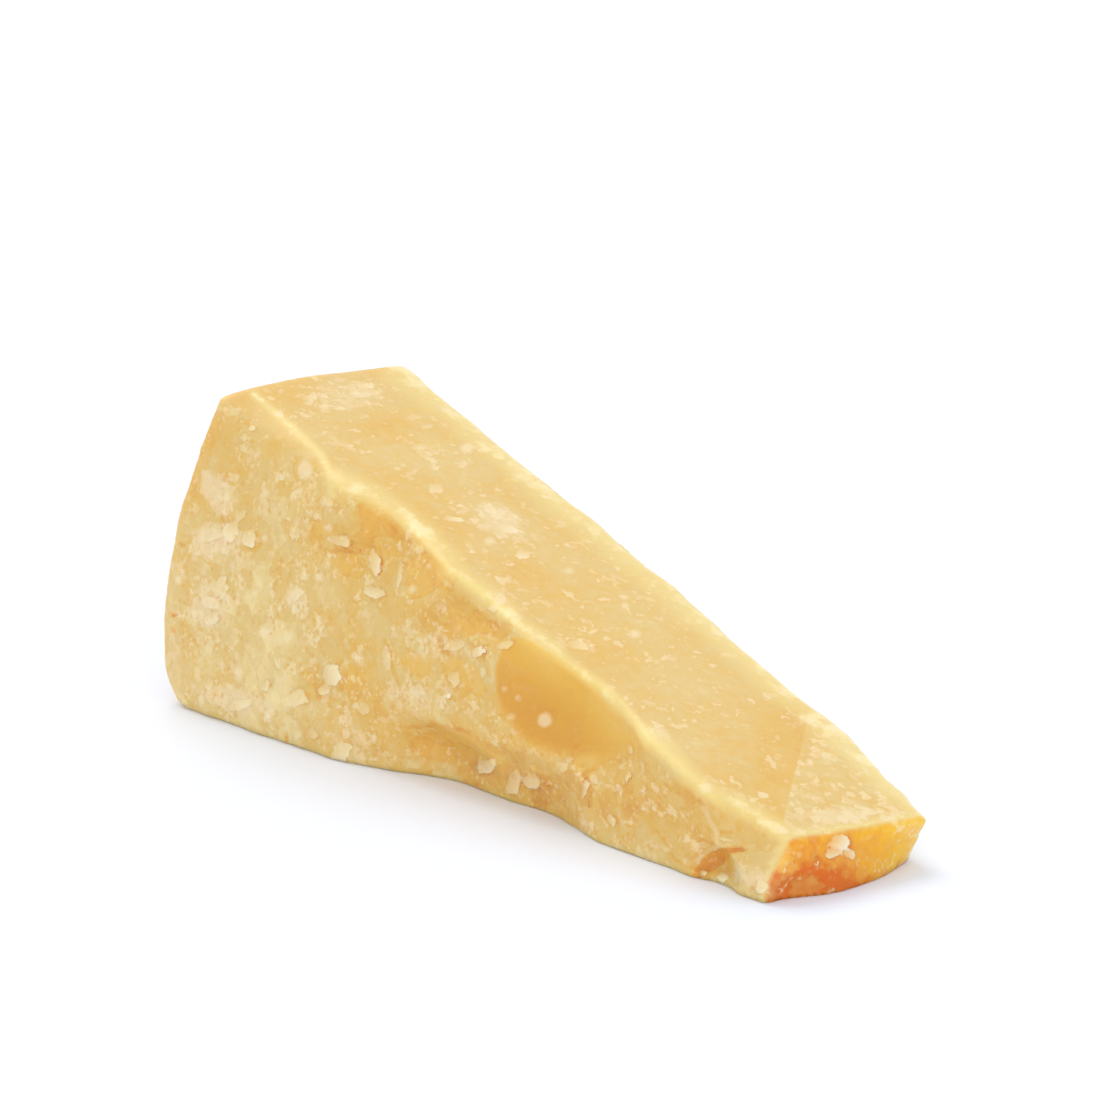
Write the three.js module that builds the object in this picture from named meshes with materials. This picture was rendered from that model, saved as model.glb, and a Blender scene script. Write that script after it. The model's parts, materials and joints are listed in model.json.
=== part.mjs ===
// A wedge of hard aged cheese, broken from a wheel. Millimetres, +Z up, origin on the floor under the
// middle of the wedge.
//
// The wheel's own axis would lie along Y. The wedge is a sector of the wheel: its two cut faces are
// radial planes, one on the floor and one rising towards the rind at -X, and its point is broken off at
// +X. The front and the back are breaks across the wheel's thickness, so they are craggy and flaked.
// Until the last step, X is measured from the foot of the rind towards the point, Y from the front break
// to the back one, and Z up from the floor.
import * as THREE from 'three';
import { mergeVertices } from 'three/addons/utils/BufferGeometryUtils.js';
import { ImprovedNoise } from 'three/addons/math/ImprovedNoise.js';

// The wheel and the sector cut from it.
const WHEEL_RADIUS = 204;
const SECTOR_ANGLE = THREE.MathUtils.degToRad(19.2);
const RIND_BULGE = 3.7;
const RIND_BULGE_LOWERING = 0.75;
const RIND_CROWN = 1.6;
const RIND_FOOT_ROUND = 8.5;

// The broken point: its distance from the wheel's axis, from the front (0) to the back (1).
const POINT_TOP = [[0, 34.8], [1, 29.6]];
const POINT_FOOT = [[0, 33.8], [0.3, 29.8], [0.65, 29.2], [1, 32.6]];
const POINT_RADIUS = 31;

// Break lines, each a few [x, y] kinks joined by smooth curves. The front face leans from the foot line
// back to the crest, which is where it meets the upper cut face.
const CREST = [[10, 7.8], [36, 8.6], [50, 8.8], [62, 11.4], [97, 8.2], [126, 10], [153, 6.6], [172, 12]];
const FOOT = [[0, -0.4], [52, 1.1], [86, 10.6], [106, 11], [130, 7], [168, 6.6]];
const BACK = [[0, 56], [14, 56.4], [60, 53.2], [98, 51.8], [136, 48.2], [146, 49.2], [176, 42.4]];
const BACK_BELLY = 0.8;

// Between the two lines the front face leans back evenly, apart from the foot, which broke away under
// a lip.
const LEAN = { start: 0.3, slope: 0.045, power: 1.5 };
const FOOT_BREAK_HEIGHT = 13;

// The bevel between the crest and a low ridge on the upper face, at the rind's end.
const BEVEL = {
  from: 11, to: 48, ridgeStart: 17.6, ridgeEnd: 9, dropAtRind: 0.5, dropMost: 3.6, endShare: 0.9,
};

// The upper face dips a little beyond the break that crosses it near the point.
const POINT_FACET = { front: [156, 8], back: [137, 46], width: 5, drop: 0.7 };

// Roundings of the edges, in millimetres. The crest is worn rounder along its shoulder.
const ROUND = { crest: 1.7, shoulder: 3, foot: 0.9, back: 1.6, rind: 1.5, point: 1.3 };
const SHOULDER = { middle: 46, halfLength: 34 };

// Shell-shaped scoops and ridges in the front break: the place of the middle along the face and its
// height, the reach along and across, the turn in degrees and the depth. A negative depth stands proud.
const SHELL = { name: 'smooth shell', at: 119, high: 21.5, along: 21, across: 10, turn: -19, depth: 3.0 };
const FRONT_FORMS = [
  SHELL,
  { name: 'lip left of the shell', at: 101.5, high: 26, along: 2.6, across: 11, turn: -12, depth: -1.2 },
  { name: 'hollow under the crest', at: 93, high: 36, along: 12, across: 4.6, turn: -17, depth: 2.8 },
  { name: 'hollow under the shoulder', at: 64, high: 44, along: 8, across: 4, turn: -24, depth: 1.6 },
  { name: 'step under the bevel', at: 48.5, high: 53, along: 2.4, across: 7, turn: -8, depth: -1.1 },
  { name: 'hollow above the foot', at: 82, high: 7.5, along: 13, across: 5.5, turn: -8, depth: 2.4 },
  { name: 'notch by the point', at: 157, high: 3.2, along: 7, across: 5, turn: -10, depth: 3.4 },
  { name: 'hollow by the large flake', at: 48, high: 18.5, along: 5, across: 5, turn: 20, depth: 1.0 },
  { name: 'belly near the rind', at: 30, high: 22, along: 34, across: 26, turn: 0, depth: -1.2 },
];

// The largest flakes that stand on the front break. Their rims are steep.
const FLAKE_HEIGHT = 0.9;
const FLAKE_STEEPNESS = 2.5;
const FRONT_FLAKES = [
  { at: 53.4, high: 17, along: 3.6, across: 3.4 },
  { at: 42.8, high: 10.2, along: 2.6, across: 2.2 },
  { at: 24, high: 39, along: 5.4, across: 3 },
  { at: 17.6, high: 47, along: 4.2, across: 3.4 },
  { at: 16.8, high: 25.3, along: 3.4, across: 3.2 },
  { at: 62.5, high: 39.5, along: 2, across: 4 },
  { at: 108.3, high: 7.4, along: 4, across: 2.6 },
  { at: 98, high: 6.9, along: 2.6, across: 2.2 },
];

// Scoops in the broken point, placed along Y.
const POINT_FORMS = [
  { name: 'hollow low at the front', at: 17.5, high: 1.6, along: 5.5, across: 3.6, turn: 0, depth: 1.8 },
  { name: 'shallow shell', at: 33, high: 6, along: 11, across: 7, turn: 8, depth: 0.9 },
];

// Scoops in the hidden back break, made like those in front.
const BACK_FORMS = [
  { name: 'long shell', at: 52, high: 26, along: 30, across: 14, turn: -14, depth: 2.6 },
  { name: 'shell by the rind', at: 14, high: 44, along: 13, across: 15, turn: 10, depth: 1.8 },
  { name: 'rib between the shells', at: 84, high: 20, along: 3, across: 15, turn: -20, depth: -1.3 },
  { name: 'shell by the point', at: 116, high: 14, along: 24, across: 9, turn: -16, depth: 2.4 },
  { name: 'chipped foot', at: 38, high: -1, along: 20, across: 8, turn: 0, depth: 3.2 },
];

// Crags: two sizes of waves over every break, and fainter ones on the knife-cut upper face and the rind.
// The shell is smoother than the rest, and so is the front close to the floor.
const CRAGS = [{ size: 15, height: 0.9 }, { size: 6.5, height: 0.55 }];
const CUT_WAVES = [{ size: 34, height: 0.3 }, { size: 9, height: 0.12 }];
const RIND_WAVES = [{ size: 22, height: 0.3 }];
const POINT_CRAG_SHARE = 0.5;
const SHELL_SMOOTHING = 0.85;
const FOOT_FADE = 3;

// Where each face takes its waves from the noise, so that no two faces match.
const WAVE_SLICES = { front: 0, back: 80, point: 200, top: 40, rind: 0 };
const RIND_WIDTH = 54;

// Mesh steps along, across and up the wedge. Steps are closer together near the edges.
const STEPS = { along: 62, across: 13, up: 24 };
const EDGE_CROWDING = 0.5;

const PASTE_COLOUR = 0xe6c384;

const { clamp, lerp, smoothstep } = THREE.MathUtils;
const noise = new ImprovedNoise();

function lineThrough(kinks, x) {
  const next = kinks.findIndex((kink) => kink[0] > x);
  if (next === 0) return kinks[0][1];
  if (next < 0) return kinks[kinks.length - 1][1];
  const [x0, y0] = kinks[next - 1];
  const [x1, y1] = kinks[next];
  return lerp(y0, y1, smoothstep(x, x0, x1));
}

function waves(sizes, x, y, z) {
  return sizes.reduce((sum, { size, height }) => sum + height * noise.noise(x / size, y / size, z / size), 0);
}

// How far a turned oval form reaches at a place: 1 in its middle, 0 at its rim and beyond.
function ovalShare({ at, high, along, across, turn = 0 }, place, height) {
  const angle = THREE.MathUtils.degToRad(turn);
  const forward = (place - at) * Math.cos(angle) + (height - high) * Math.sin(angle);
  const sideways = (height - high) * Math.cos(angle) - (place - at) * Math.sin(angle);
  return Math.max(0, 1 - (forward / along) ** 2 - (sideways / across) ** 2);
}

function depthOf(forms, place, height) {
  return forms.reduce((sum, form) => sum + form.depth * ovalShare(form, place, height), 0);
}

// A flake is a plate: it rises steeply at its rim and is flat on top.
function flakesAt(x, z) {
  const rises = FRONT_FLAKES.map((flake) => Math.min(1, FLAKE_STEEPNESS * ovalShare(flake, x, z)));
  return Math.max(...rises);
}

function crowdToEdges(t) {
  return t - (EDGE_CROWDING * Math.sin(2 * Math.PI * t)) / (2 * Math.PI);
}

// Y of the front break. The share is the height, from 0 on the floor to 1 at the crest.
function frontFace(x, z, share) {
  const plane = LEAN.start + LEAN.slope * x;
  const lean = lerp(plane, lineThrough(CREST, x), share ** LEAN.power);
  const under = Math.max(0, 1 - (z / FOOT_BREAK_HEIGHT) ** 2) * (lineThrough(FOOT, x) - plane);
  const crags = waves(CRAGS, x, WAVE_SLICES.front, z);
  const smoothing = 1 - SHELL_SMOOTHING * Math.min(1, 2 * ovalShare(SHELL, x, z));
  return lean + under + depthOf(FRONT_FORMS, x, z) + crags * smoothing - FLAKE_HEIGHT * flakesAt(x, z);
}

// Y of the back break, which bellies out a little at half its height.
function backFace(x, z, share) {
  const belly = BACK_BELLY * Math.sin(Math.PI * share);
  return lineThrough(BACK, x) + belly - depthOf(BACK_FORMS, x, z) - waves(CRAGS, x, WAVE_SLICES.back, z);
}

// Distance of the rind from the wheel's axis. It bulges, and rounds under at its foot.
function rindRadius(across, share) {
  const z = WHEEL_RADIUS * Math.sin(SECTOR_ANGLE * share);
  const under = clamp(1 - z / RIND_FOOT_ROUND, 0, 1);
  const tuck = RIND_FOOT_ROUND * (1 - Math.sqrt(1 - under * under));
  const bulge = RIND_BULGE * Math.sin(Math.PI * share ** RIND_BULGE_LOWERING)
    + RIND_CROWN * Math.sin(Math.PI * across);
  return WHEEL_RADIUS + bulge - tuck + waves(RIND_WAVES, WAVE_SLICES.rind, across * RIND_WIDTH, z);
}

// Distance of the broken point from the wheel's axis.
function pointRadius(across, share, y, z) {
  const plan = lerp(lineThrough(POINT_FOOT, across), lineThrough(POINT_TOP, across), share);
  return plan + depthOf(POINT_FORMS, y, z) + POINT_CRAG_SHARE * waves(CRAGS, WAVE_SLICES.point, y, z);
}

// How far the upper face lies below the flat radial cut.
function upperDrop(x, y) {
  const run = clamp((x - BEVEL.from) / (BEVEL.to - BEVEL.from), 0, 1);
  const ridge = lerp(BEVEL.ridgeStart, BEVEL.ridgeEnd, run);
  const edge = lineThrough(CREST, x);
  const outward = clamp((ridge - y) / Math.max(ridge - edge, 1), 0, 1);
  const deepest = lerp(BEVEL.dropAtRind, BEVEL.dropMost, Math.sin(Math.PI * Math.min(run, BEVEL.endShare)));
  const bevel = x < BEVEL.to ? deepest * outward : 0;
  const [frontX, frontY] = POINT_FACET.front;
  const [backX, backY] = POINT_FACET.back;
  const facetStart = lerp(frontX, backX, clamp((y - frontY) / (backY - frontY), 0, 1));
  const facet = POINT_FACET.drop * smoothstep(x, facetStart, facetStart + POINT_FACET.width);
  return bevel + facet + waves(CUT_WAVES, x, y, WAVE_SLICES.top);
}

// Pulls a place on a sharp box in towards its core, which rounds the box's edges. Each axis has its
// size, and the rounding at its low and at its high end.
function roundOff(place, axes) {
  const out = axes.map(({ size, low, high }, i) => {
    const round = place[i] < size / 2 ? low : high;
    const core = clamp(place[i], low, size - high);
    return { core, round, reach: (place[i] - core) / round };
  });
  const length = Math.hypot(...out.map(({ reach }) => reach));
  const scale = length > 1 ? 1 / length : 1;
  return out.map(({ core, round, reach }) => core + round * reach * scale);
}

// Takes a corner of the unit box to its place on the wedge.
function placeOnWedge(along, across, up) {
  const radius = lerp(WHEEL_RADIUS, POINT_RADIUS, along);
  const roughX = WHEEL_RADIUS - radius * Math.cos(SECTOR_ANGLE * up);
  const length = WHEEL_RADIUS - POINT_RADIUS;
  const width = lineThrough(BACK, roughX) - lineThrough(CREST, roughX);
  const height = radius * SECTOR_ANGLE;
  const shoulder = Math.max(0, 1 - ((roughX - SHOULDER.middle) / SHOULDER.halfLength) ** 2);
  const front = ROUND.crest + ROUND.shoulder * shoulder;
  const rounded = roundOff([along * length, across * width, up * height], [
    { size: length, low: ROUND.rind, high: ROUND.point },
    { size: width, low: up < 0.5 ? ROUND.crest : front, high: ROUND.back },
    { size: height, low: ROUND.foot, high: across < 0.5 ? front : ROUND.back },
  ]);
  const [u, v, w] = [rounded[0] / length, rounded[1] / width, rounded[2] / height];

  const roughY = lerp(lineThrough(CREST, roughX), lineThrough(BACK, roughX), v);
  const roughZ = height * w;
  const outer = rindRadius(v, w);
  const inner = pointRadius(v, w, roughY, roughZ);
  const distance = lerp(outer, inner, u);
  const angle = SECTOR_ANGLE * w;
  const x = WHEEL_RADIUS - distance * Math.cos(angle);
  const z = distance * Math.sin(angle);
  const flatZ = Math.max(z, 0);
  const y = lerp(frontFace(x, flatZ * smoothstep(z, 0, FOOT_FADE), w), backFace(x, flatZ, w), v);
  return [x, y, Math.max(0, z - upperDrop(x, y) * w)];
}

function wedgeGeometry() {
  const box = new THREE.BoxGeometry(1, 1, 1, STEPS.along, STEPS.across, STEPS.up);
  box.deleteAttribute('normal');
  box.deleteAttribute('uv');
  const geometry = mergeVertices(box);
  const position = geometry.getAttribute('position');
  for (let i = 0; i < position.count; i += 1) {
    const corner = [position.getX(i), position.getY(i), position.getZ(i)];
    const shares = corner.map((value) => crowdToEdges(value + 0.5));
    position.setXYZ(i, ...placeOnWedge(...shares));
  }
  geometry.computeBoundingBox();
  const middle = geometry.boundingBox.getCenter(new THREE.Vector3());
  geometry.translate(-middle.x, -middle.y, -geometry.boundingBox.min.z);
  geometry.computeVertexNormals();
  return geometry;
}

const group = new THREE.Group();
const paste = new THREE.MeshStandardMaterial({ color: PASTE_COLOUR, roughness: 0.6, metalness: 0 });
const wedge = new THREE.Mesh(wedgeGeometry(), paste);
wedge.name = 'cheese_wedge';
group.add(wedge);

export default group;
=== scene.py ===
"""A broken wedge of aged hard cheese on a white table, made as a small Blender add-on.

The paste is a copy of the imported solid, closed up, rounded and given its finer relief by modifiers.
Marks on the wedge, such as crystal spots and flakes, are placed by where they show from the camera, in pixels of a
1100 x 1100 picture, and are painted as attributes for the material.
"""

import json
import math
import random

import bpy
import numpy as np
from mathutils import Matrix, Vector

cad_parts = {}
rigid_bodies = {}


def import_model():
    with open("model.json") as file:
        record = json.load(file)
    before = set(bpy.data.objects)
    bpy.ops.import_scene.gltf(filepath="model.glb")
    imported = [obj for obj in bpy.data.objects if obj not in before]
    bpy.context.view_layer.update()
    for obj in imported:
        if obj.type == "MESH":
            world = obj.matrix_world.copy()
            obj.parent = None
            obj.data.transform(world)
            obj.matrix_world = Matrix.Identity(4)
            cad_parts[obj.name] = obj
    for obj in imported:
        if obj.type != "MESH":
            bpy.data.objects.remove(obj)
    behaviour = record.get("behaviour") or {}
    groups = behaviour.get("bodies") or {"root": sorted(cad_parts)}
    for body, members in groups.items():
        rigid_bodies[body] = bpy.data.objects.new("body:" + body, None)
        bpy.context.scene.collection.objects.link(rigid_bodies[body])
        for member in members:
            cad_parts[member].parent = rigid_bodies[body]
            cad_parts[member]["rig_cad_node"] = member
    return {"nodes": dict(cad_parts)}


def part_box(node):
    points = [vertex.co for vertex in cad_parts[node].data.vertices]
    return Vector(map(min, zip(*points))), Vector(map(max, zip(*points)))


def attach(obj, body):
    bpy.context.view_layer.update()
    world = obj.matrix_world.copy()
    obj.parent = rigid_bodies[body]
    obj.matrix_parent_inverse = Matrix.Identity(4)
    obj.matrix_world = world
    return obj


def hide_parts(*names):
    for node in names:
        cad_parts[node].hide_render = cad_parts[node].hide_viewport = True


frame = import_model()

bl_info = {
    "name": "Aged cheese wedge",
    "version": (1, 0, 0),
    "blender": (4, 5, 0),
    "location": "View3D > Sidebar > Cheese",
    "description": "Models and finishes a broken wedge of aged hard cheese round its packed solid",
    "category": "Object",
}

MM = 0.001
SOLID = "cheese_wedge"
BOX_LOW, BOX_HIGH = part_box(SOLID)
LENGTH = BOX_HIGH.x - BOX_LOW.x

# The camera, in metres and degrees, and the picture that the marks are placed in.
CAMERA_PLACE = Vector((0.44988, -0.39717, 0.19376))
CAMERA_TURN = 48.31
CAMERA_DIP = 14.0
PICTURE_SIDE = 1100
FOCAL_PIXELS = 3200
SENSOR_WIDTH = 36.0

# Where the lights come from.
KEY_FROM = (-0.57, 0.12, 0.81)
FILL_FROM = (0.73, -0.65, 0.21)
RIM_FROM = (-0.30, 0.85, 0.35)
SKY_COLOUR = (0.93, 0.985, 1.04, 1)

PIXEL_ON_WEDGE = 0.22  # mm on the wedge for a pixel of the picture

# Ragged marks are made of overlapping lobes with straight sides. Distances in mm.
LOBES = 3
LOBE_SIDES = 6
FAR_OUTSIDE = -1.5
LINE_REACH = 3
FACET_REACH = (-12, 3)

# The relief's patterns, in mm.
CRAG_SIZE = 6.0
PLATE_SIZE = 3.2
WAVE_SIZE = 12.0
WAVE_HEIGHT = 0.35
GRAIN_SIZE = 1.5
FOOT_HEIGHT = 2.0

# Rounds of smoothing, each of which spreads a value over about one step of the grid.
REGION_ROUNDS = 12
SEEN_ROUNDS = 6
RIND_ROUNDS = 60
COARSE_ROUNDS = 120
FINE_ROUNDS = 6

# Marks: middle across and down, width and height in pixels, turn in degrees, and strength where it is set.
FLAKES = {
    "bright flake above the left hollow": (250, 540, 20, 20, 30, 1.2),
    "flakes left of it": (233, 530, 18, 22, -20, 1.0),
    "pale plate beside it": (212, 535, 26, 18, -10, 0.8),
    "small flake over it": (241, 515, 12, 16, 0),
    "upper flake of the cluster": (253, 428, 8, 9, 20),
    "lower flake of the cluster": (244, 437, 8, 9, 0),
    "triangle on the left": (221, 588, 18, 19, 45),
    "upper ragged flake on the left": (211, 603, 24, 16, 15, 1.0),
    "lower ragged flake on the left": (212, 619, 22, 14, -15, 1.0),
    "blot in the middle left": (296, 593, 16, 20, 0),
    "round flake by the step": (297, 532, 13, 17, 0),
    "pink flake by the step": (327, 503, 14, 11, 0),
    "low plate": (241, 704, 34, 14, -8, 0.9),
    "low left fleck": (211, 683, 10, 14, 0),
    "low fleck beside it": (266, 687, 12, 14, 0),
    "fleck above the foot": (270, 712, 18, 12, 0),
    "flake with five corners": (296, 698, 27, 20, -10, 0.9),
    "large flake": (331, 676, 22, 28, 30, 1.2),
    "foot of the large flake": (325, 689, 15, 13, 0),
    "flake under the large one": (341, 752, 18, 24, 10, 1.1),
    "low pale flake": (314, 734, 12, 14, 0),
    "low pale flake beside it": (298, 734, 10, 14, 0),
    "plate under the step": (344, 541, 24, 15, 8, 1.0),
    "upright flake": (375, 564, 12, 26, -8, 1.1),
    "flake below the upright one": (375, 592, 24, 14, 5, 1.0),
    "thin upright flake": (400, 574, 7, 30, 4),
    "curved pale strip": (387, 660, 10, 34, -10),
    "end of the curved strip": (394, 688, 8, 22, -24),
    "flat plate in the middle": (363, 708, 17, 12, 0),
    "three cornered flake": (453, 678, 14, 15, 0),
    "bright fleck": (449, 695, 10, 9, 0, 1.6),
    "flake with a dark speck": (479, 652, 13, 11, 0, 1.4),
    "tall flake by the shell": (483, 672, 8, 16, 0),
    "pale block left of the shell": (455, 645, 26, 16, 0),
    "lip of the shell": (505, 644, 24, 9, -18),
    "flake by the foot": (487, 766, 22, 18, -20, 1.1),
    "cream flake at the foot": (513, 785, 18, 30, 20, 0.9),
    "wide flake at the foot": (530, 782, 20, 16, 30, 1.1),
    "ragged flake low in the shell": (561, 767, 14, 14, 0),
    "point of the ragged flake": (569, 760, 8, 12, 30),
    "upright sliver low in the shell": (585, 788, 7, 22, 12),
    "smear right of the sliver": (610, 786, 22, 7, 22),
    "low smear by the foot": (611, 820, 9, 14, -20),
    "sliver right of the shell": (629, 777, 6, 15, 25),
    "white fleck right of the shell": (643, 789, 5, 11, 0),
    "high fleck right of the shell": (630, 748, 5, 10, 0),
    "white fleck in the notch": (724, 877, 17, 12, 10, 1.3),
    "left fleck in the notch": (703, 873, 9, 7, -30, 1.2),
    "pale lip by the point": (762, 886, 12, 18, 24, 1.2),
    "lip over the notch": (727, 840, 18, 7, 12),
    "white crumb at the point": (840, 843, 22, 18, 0, 1.7),
    "foot of the white crumb": (833, 853, 14, 17, 30, 1.3),
    "crumb beside it": (849, 853, 14, 12, 0, 1.3),
    "speck under the crumb": (816, 864, 6, 6, 0, 1.2),
    "fleck on the top near the rind": (369, 385, 14, 8, 6, 1.2),
    "fleck on the top beside it": (380, 397, 14, 6, 0),
    "curl near the rind": (352, 383, 10, 5, 30),
    "fleck under the curl": (356, 392, 12, 5, 0),
    "left fleck on the top": (325, 406, 10, 9, 0),
    "far left fleck on the top": (309, 402, 12, 6, 0),
    "high left fleck on the top": (323, 395, 10, 6, 0),
    "smear on the top": (435, 488, 15, 12, 10, 0.8),
    "long smear on the top": (428, 458, 20, 6, 20),
    "end of the long smear": (434, 467, 10, 6, 30),
    "bright smear on the top": (450, 519, 18, 6, 4, 1.0),
    "large smear on the top": (488, 507, 20, 10, 40, 0.9),
    "smear below it": (507, 528, 22, 9, 12, 1.1),
    "curl on the top": (523, 554, 14, 9, 10, 1.1),
    "smear on the far side": (445, 407, 24, 8, -8),
    "dash on the far side": (427, 426, 14, 4, 0),
    "ring fleck on the top": (463, 464, 12, 9, 0),
    "bent fleck on the top": (470, 547, 6, 16, -35),
    "fleck beside the ring": (484, 551, 8, 7, 30),
    "smear near the crest": (580, 646, 24, 12, 15, 1.0),
    "smear over the crest": (516, 616, 14, 8, 0),
    "leaf on the crest": (500, 598, 14, 16, 30),
    "leaf below it": (494, 608, 14, 8, 0),
}
HAZES = {
    "haze high on the left": (218, 492, 30, 58, -25, 1.3),
    "haze over the left flakes": (216, 538, 56, 40, -8, 1.2),
    "haze on the left": (212, 606, 46, 50, 0, 1.1),
    "haze in the middle left": (296, 600, 24, 34, 0),
    "haze over the foot": (235, 700, 90, 30, 18),
    "haze low in the middle": (350, 740, 60, 40, 16, 0.7),
    "haze in the middle": (440, 650, 60, 34, 10, 0.5),
    "haze below the strip": (420, 700, 60, 36, 30, 0.6),
    "pale smear low in the shell": (588, 815, 17, 28, 0),
    "large pale spot right of the shell": (647, 808, 20, 26, 0),
    "haze right of the notch": (748, 876, 40, 22, 10, 0.9),
    "haze near the rind on the top": (350, 395, 100, 34, -6, 0.6),
    "haze in the middle of the top": (500, 520, 60, 40, 30),
    "pale green patch": (417, 549, 16, 9, 0),
    "square haze near the point": (763, 795, 18, 10, 0),
    "haze on the crest by the shell": (660, 735, 26, 20, 30),
    "haze on the last facet": (840, 815, 60, 20, -4),
}
SPOTS = {
    "round spot high on the left": (305, 470, 16, 19),
    "spot on the left edge": (179, 580, 8, 9),
    "spot in the left middle": (264, 632, 11, 11),
    "oval spot low on the left": (239, 673, 10, 18),
    "pink spot": (266, 493, 8, 8),
    "faint spot": (265, 538, 7, 7),
    "spot by the orange gap": (327, 528, 8, 8),
    "small spot on the left": (255, 593, 6, 6),
    "first spot in the middle": (304, 577, 8, 8),
    "second spot in the middle": (319, 577, 9, 9),
    "tall spot on the left": (209, 650, 8, 13),
    "low left spot": (202, 700, 8, 12),
    "low spot": (267, 718, 10, 10),
    "slanted spot": (288, 638, 8, 14, 30),
    "spot by the strip": (359, 659, 8, 15),
    "spot in the shell": (545, 720, 15, 16),
    "round spot on the top": (467, 448, 14, 11),
    "ring on the top": (490, 541, 11, 8),
    "spot on the far side": (625, 606, 7, 8),
    "glint on the crest": (706, 788, 14, 12),
    "spot in the middle of the top": (569, 571, 10, 6),
    "speck low on the top": (635, 634, 12, 9),
    "small spot on the front": (411, 589, 8, 8),
    "small spot beside it": (427, 566, 6, 6),
    "speck in the recess": (465, 666, 5, 5),
    "speck by the shell": (505, 689, 6, 6),
    "low speck by the shell": (518, 698, 5, 6),
    "speck by the haze": (511, 717, 9, 7),
}
# Places painted gold and darker, in hollows and along the foot: partly the paste's deeper tone and partly painted
# shade and glow in those hollows. They are also sunk a little.
GOLD_AND_SHADE_PLACES = {
    "broad warmth under the crest": (420, 560, 190, 80, 42, 0.55),
    "gap on the left": (222, 512, 24, 28, 0, 0.5),
    "gap by the step": (318, 534, 24, 34, 10, 0.5),
    "gap under the step": (376, 528, 40, 34, 10, 0.6),
    "gap below the crest": (412, 568, 34, 40, 30, 0.6),
    "gap right of it": (444, 574, 32, 40, 20, 0.6),
    "gap beside the upright flake": (389, 584, 22, 48, 0, 0.5),
    "gap left of the upright flake": (352, 562, 34, 30, 0, 0.5),
    "hollow under the shoulder": (468, 614, 80, 44, 16, 0.7),
    "gap by the large flake": (307, 684, 34, 40, 0, 0.6),
    "gap right of the large flake": (352, 684, 18, 40, 0, 0.6),
    "hollow above the foot": (444, 746, 110, 46, 8, 1.0),
    "middle of that hollow": (474, 748, 44, 30, 0, 1.1),
    "hollow low in the shell": (592, 764, 76, 38, 14, 0.8),
    "gold low at the foot": (556, 786, 70, 30, 14, 0.6),
    "gold right of the shell": (640, 775, 70, 60, 30, 0.4),
    "surroundings of the notch": (718, 864, 56, 30, -20, 0.7),
    "gold low on the right": (672, 812, 150, 64, 28, 0.8),
    "gold before the last facet": (742, 765, 100, 56, 34, 0.5),
    "gold along the foot": (520, 782, 240, 72, 20, 0.85),
    "gold patch near the rind": (386, 432, 70, 24, 4, 0.4),
    "gold by the shoulder": (520, 575, 80, 30, 16, 0.4),
    "gold over the shell": (600, 640, 90, 24, 20, 0.3),
}
# Gaps and specks between the flakes: sunk into the paste, painted darker and more orange as shade in them, with
# painted gold glow in the shallow ones.
SHADED_GAPS = {
    "gap over the plate by the step": (321, 535, 9, 16, 10, 0.7),
    "gap under the plate by the step": (355, 556, 22, 10, 10, 0.7),
    "gap above the upright flake": (380, 530, 30, 16, 6, 0.5),
    "gap right of the upright flake": (387, 552, 5, 18, -20, 0.6),
    "gap right of the thin flake": (412, 574, 18, 22, 0, 0.7),
    "gap under the crest": (446, 571, 16, 22, 10, 0.5),
    "gap under the claw": (455, 632, 12, 20, 0, 0.6),
    "gap by the large flake": (308, 680, 12, 20, 0, 0.7),
    "gap under the large flake": (305, 694, 14, 10, 0, 0.6),
    "gap right of the large flake": (347, 680, 5, 22, 0, 0.8),
    "gap left of the strip": (370, 668, 6, 16, 0, 0.5),
    "gap by the bright fleck": (455, 688, 9, 8, 0, 0.9),
    "dark gap by the shell": (484, 660, 5, 6, 0, 1.2),
    "gap right of the hollow": (488, 752, 18, 12, 10, 0.8),
    "gap at the foot": (503, 768, 8, 14, 0, 0.7),
    "gap by the ragged flake": (570, 768, 6, 14, 0, 0.8),
    "gap right of the shell": (622, 754, 20, 14, 0, 0.9),
    "gap by the pale spot": (640, 824, 8, 12, 20, 0.5),
    "crack by the foot": (286, 736, 4, 14, 0, 1.6),
    "first speck on the foot": (536, 806, 10, 5, 20, 1.3),
    "second speck on the foot": (610, 840, 12, 4, 20, 1.3),
    "third speck on the foot": (668, 866, 14, 4, 20, 1.0),
    "side of the notch": (700, 874, 10, 8, -30, 1.3),
    "pocket low on the end": (805, 885, 36, 22, -16, 1.6),
    "red spot on the end": (816, 856, 11, 8, 0, 1.2),
    "pocket left on the end": (793, 862, 8, 16, 20, 0.7),
    "first speck on the left edge": (192, 472, 4, 6, 0, 1.0),
    "second speck on the left edge": (182, 544, 7, 9, 0, 1.6),
    "third speck on the left edge": (173, 614, 8, 8, 0, 1.9),
    "fourth speck on the left edge": (172, 630, 7, 8, 0, 1.7),
}
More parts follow.
